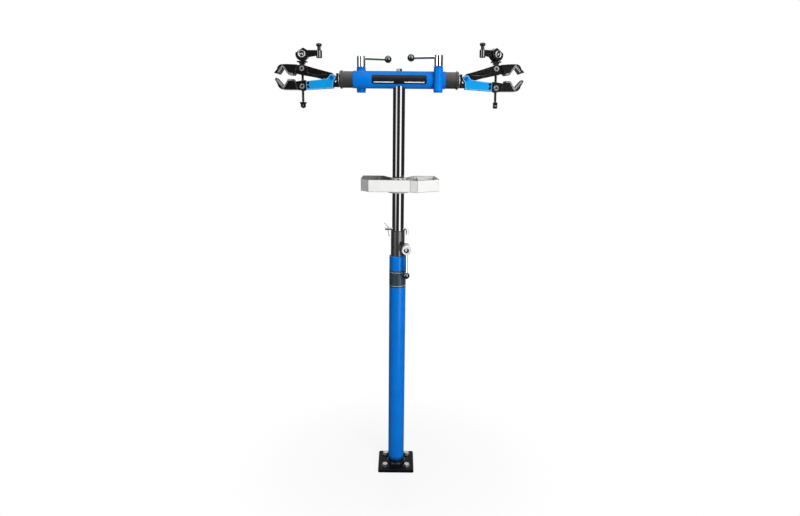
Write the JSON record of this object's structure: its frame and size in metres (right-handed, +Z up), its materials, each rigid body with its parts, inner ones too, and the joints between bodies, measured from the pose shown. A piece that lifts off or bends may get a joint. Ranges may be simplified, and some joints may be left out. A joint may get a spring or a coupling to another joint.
{
  "type": "bicycle repair stand",
  "caption": "Floor-bolted bicycle repair stand: telescoping column, cross tube with a rotating screw clamp at each end, lock levers and a swivelling tool tray.",
  "frame": {"origin": "centre of the floor plate's underside", "axes": "+Z up along the mast, +X to the right clamp, +Y to the rear"},
  "size_m": [0.8378, 0.177, 1.6022],
  "materials": {
    "black_paint": "gloss",
    "zinc_steel": "zinc plated",
    "blue_paint": "gloss powder coat",
    "grey_paint": "satin",
    "dark_steel": "black oxide",
    "chrome": "polished",
    "black_ball": "gloss",
    "bush_plastic": "matt",
    "plain_steel": "turned",
    "tray_grey": "satin",
    "tray_plastic": "satin",
    "neck_black": "satin",
    "thrust_grey": "satin",
    "arm_blue": "gloss powder coat",
    "jaw_black": "semi-gloss coat",
    "pad_rubber": "matt",
    "screw_black": "black oxide",
    "black_plastic": "semi-gloss"
  },
  "bodies": {
    "column": {"base_plate": "black_paint", "floor_bolts": "zinc_steel", "floor_washers": "zinc_steel", "lower_tube": "blue_paint", "clamp_sleeve": "grey_paint", "sleeve_bolts": "dark_steel"},
    "height_lever": {"height_hub": "chrome", "height_rod": "chrome", "height_ball": "black_ball"},
    "swivel_bush": {"sleeve_liner": "bush_plastic"},
    "mast": {"upper_tube": "black_paint", "mast_foot": "bush_plastic", "height_pin": "zinc_steel", "pin_clip": "zinc_steel", "mast_plug": "plain_steel", "head_tube": "blue_paint", "head_bolt": "zinc_steel", "lock_wedges": "blue_paint", "lock_studs": "zinc_steel"},
    "tray_collar": {"tray_collar": "tray_grey", "collar_screws": "dark_steel"},
    "tray": {"tray": "tray_plastic"},
    "left_lock": {"left_lock_barrel": "chrome", "left_lock_rod": "chrome", "left_lock_ball": "black_ball"},
    "left_clamp": {"left_clamp_shaft": "neck_black", "left_thrust_collar": "thrust_grey", "left_jaw_arm": "arm_blue", "left_arm_fasteners": "dark_steel", "left_lower_jaw": "jaw_black", "left_lower_pad": "pad_rubber"},
    "left_upper_jaw": {"left_upper_jaw": "jaw_black", "left_upper_pad": "pad_rubber"},
    "left_upper_trunnion": {"left_upper_trunnion": "zinc_steel"},
    "left_lower_trunnion": {"left_lower_trunnion": "zinc_steel"},
    "left_saddle": {"left_saddle": "dark_steel"},
    "left_screw": {"left_screw": "screw_black", "left_end_tab": "black_plastic", "left_lever_pin": "zinc_steel"},
    "left_cam_lever": {"left_cam_lever": "jaw_black"},
    "left_knob": {"left_knob": "black_plastic"},
    "right_lock": {"right_lock_barrel": "chrome", "right_lock_rod": "chrome", "right_lock_ball": "black_ball"},
    "right_clamp": {"right_clamp_shaft": "neck_black", "right_thrust_collar": "thrust_grey", "right_jaw_arm": "arm_blue", "right_arm_fasteners": "dark_steel", "right_lower_jaw": "jaw_black", "right_lower_pad": "pad_rubber"},
    "right_upper_jaw": {"right_upper_jaw": "jaw_black", "right_upper_pad": "pad_rubber"},
    "right_upper_trunnion": {"right_upper_trunnion": "zinc_steel"},
    "right_lower_trunnion": {"right_lower_trunnion": "zinc_steel"},
    "right_saddle": {"right_saddle": "dark_steel"},
    "right_screw": {"right_screw": "screw_black", "right_end_tab": "black_plastic", "right_lever_pin": "zinc_steel"},
    "right_cam_lever": {"right_cam_lever": "jaw_black"},
    "right_knob": {"right_knob": "black_plastic"}
  },
  "joints": [
    {"name": "height_lever_turn", "type": "hinge", "parent": "column", "child": "height_lever", "pos_m": [0.031, -0.012, 0.869], "axis": [0, -1, 0], "range_deg": [0, 150]},
    {"name": "mast_swivel", "type": "hinge", "parent": "column", "child": "swivel_bush", "pos_m": [0, 0, 0.839], "axis": [0, 0, 1], "continuous": true},
    {"name": "mast_rise", "type": "slide", "parent": "swivel_bush", "child": "mast", "axis": [0, 0, 1], "range_m": [0, 0.0762]},
    {"name": "tray_height", "type": "slide", "parent": "mast", "child": "tray_collar", "axis": [0, 0, 1], "range_m": [-0.1, 0.25]},
    {"name": "tray_turn", "type": "hinge", "parent": "tray_collar", "child": "tray", "pos_m": [0, 0, 1.076], "axis": [0, 0, 1], "continuous": true},
    {"name": "left_lock_turn", "type": "hinge", "parent": "mast", "child": "left_lock", "pos_m": [-0.131, 0.03, 1.4895], "axis": [0, 0, 1], "continuous": true},
    {"name": "left_clamp_turn", "type": "hinge", "parent": "mast", "child": "left_clamp", "pos_m": [-0.156, 0, 1.4505], "axis": [1, 0, 0], "continuous": true},
    {"name": "left_screw_spin", "type": "hinge", "parent": "left_saddle", "child": "left_screw", "pos_m": [-0.32841, 0, 1.42592], "axis": [0, 0, 1], "range_deg": [-963.36, 2907.36]},
    {"name": "left_jaw_open", "type": "hinge", "parent": "left_clamp", "child": "left_upper_jaw", "pos_m": [-0.227, 0, 1.455], "axis": [0, 1, 0], "range_deg": [-3.56, 12.71]},
    {"name": "left_upper_trunnion_turn", "type": "hinge", "parent": "left_upper_jaw", "child": "left_upper_trunnion", "pos_m": [-0.32841, 0, 1.48408], "axis": [0, 1, 0], "range_deg": [-6.84, 2.27]},
    {"name": "left_lower_trunnion_turn", "type": "hinge", "parent": "left_clamp", "child": "left_lower_trunnion", "pos_m": [-0.32841, 0, 1.42592], "axis": [0, 1, 0], "range_deg": [-2.27, 6.84]},
    {"name": "left_screw_feed", "type": "slide", "parent": "left_lower_trunnion", "child": "left_saddle", "axis": [0, 0, 1], "range_m": [-0.00803, 0.02423]},
    {"name": "left_cam_flip", "type": "hinge", "parent": "left_screw", "child": "left_cam_lever", "pos_m": [-0.32841, 0, 1.53018], "axis": [0, -1, 0], "range_deg": [0, 110]},
    {"name": "left_knob_spin", "type": "hinge", "parent": "left_cam_lever", "child": "left_knob", "pos_m": [-0.27091, 0, 1.53018], "axis": [0, 0, 1], "continuous": true},
    {"name": "right_lock_turn", "type": "hinge", "parent": "mast", "child": "right_lock", "pos_m": [0.131, -0.03, 1.4895], "axis": [0, 0, 1], "continuous": true},
    {"name": "right_clamp_turn", "type": "hinge", "parent": "mast", "child": "right_clamp", "pos_m": [0.156, 0, 1.4505], "axis": [1, 0, 0], "continuous": true},
    {"name": "right_screw_spin", "type": "hinge", "parent": "right_saddle", "child": "right_screw", "pos_m": [0.32841, 0, 1.42592], "axis": [-0.0209, 0, 0.9998], "range_deg": [-1421.64, 2267.64]},
    {"name": "right_jaw_open", "type": "hinge", "parent": "right_clamp", "child": "right_upper_jaw", "pos_m": [0.227, 0, 1.455], "axis": [0, -1, 0], "range_deg": [-5.8, 9.81]},
    {"name": "right_upper_trunnion_turn", "type": "hinge", "parent": "right_upper_jaw", "child": "right_upper_trunnion", "pos_m": [0.32711, 0, 1.4883], "axis": [0, -1, 0], "range_deg": [-5.37, 3.37]},
    {"name": "right_lower_trunnion_turn", "type": "hinge", "parent": "right_clamp", "child": "right_lower_trunnion", "pos_m": [0.32841, 0, 1.42592], "axis": [0, -1, 0], "range_deg": [-3.37, 5.37]},
    {"name": "right_screw_feed", "type": "slide", "parent": "right_lower_trunnion", "child": "right_saddle", "axis": [-0.0209, 0, 0.9998], "range_m": [-0.01185, 0.0189]},
    {"name": "right_cam_flip", "type": "hinge", "parent": "right_screw", "child": "right_cam_lever", "pos_m": [0.32614, 0, 1.53439], "axis": [-0.4999, 0.866, -0.0105], "range_deg": [0, 110]},
    {"name": "right_knob_spin", "type": "hinge", "parent": "right_cam_lever", "child": "right_knob", "pos_m": [0.27636, -0.02875, 1.53335], "axis": [-0.0209, 0, 0.9998], "continuous": true}
  ],
  "couplings": [
    {"joint": "left_screw_spin", "follows": "left_jaw_open", "ratio": 212.4},
    {"joint": "left_upper_trunnion_turn", "follows": "left_jaw_open", "ratio": -0.5},
    {"joint": "left_lower_trunnion_turn", "follows": "left_jaw_open", "ratio": 0.5},
    {"joint": "left_screw_feed", "follows": "left_jaw_open", "m_per_rad": 0.10141},
    {"joint": "right_screw_spin", "follows": "right_jaw_open", "ratio": 211.08},
    {"joint": "right_upper_trunnion_turn", "follows": "right_jaw_open", "ratio": -0.5},
    {"joint": "right_lower_trunnion_turn", "follows": "right_jaw_open", "ratio": 0.5},
    {"joint": "right_screw_feed", "follows": "right_jaw_open", "m_per_rad": 0.10078}
  ]
}
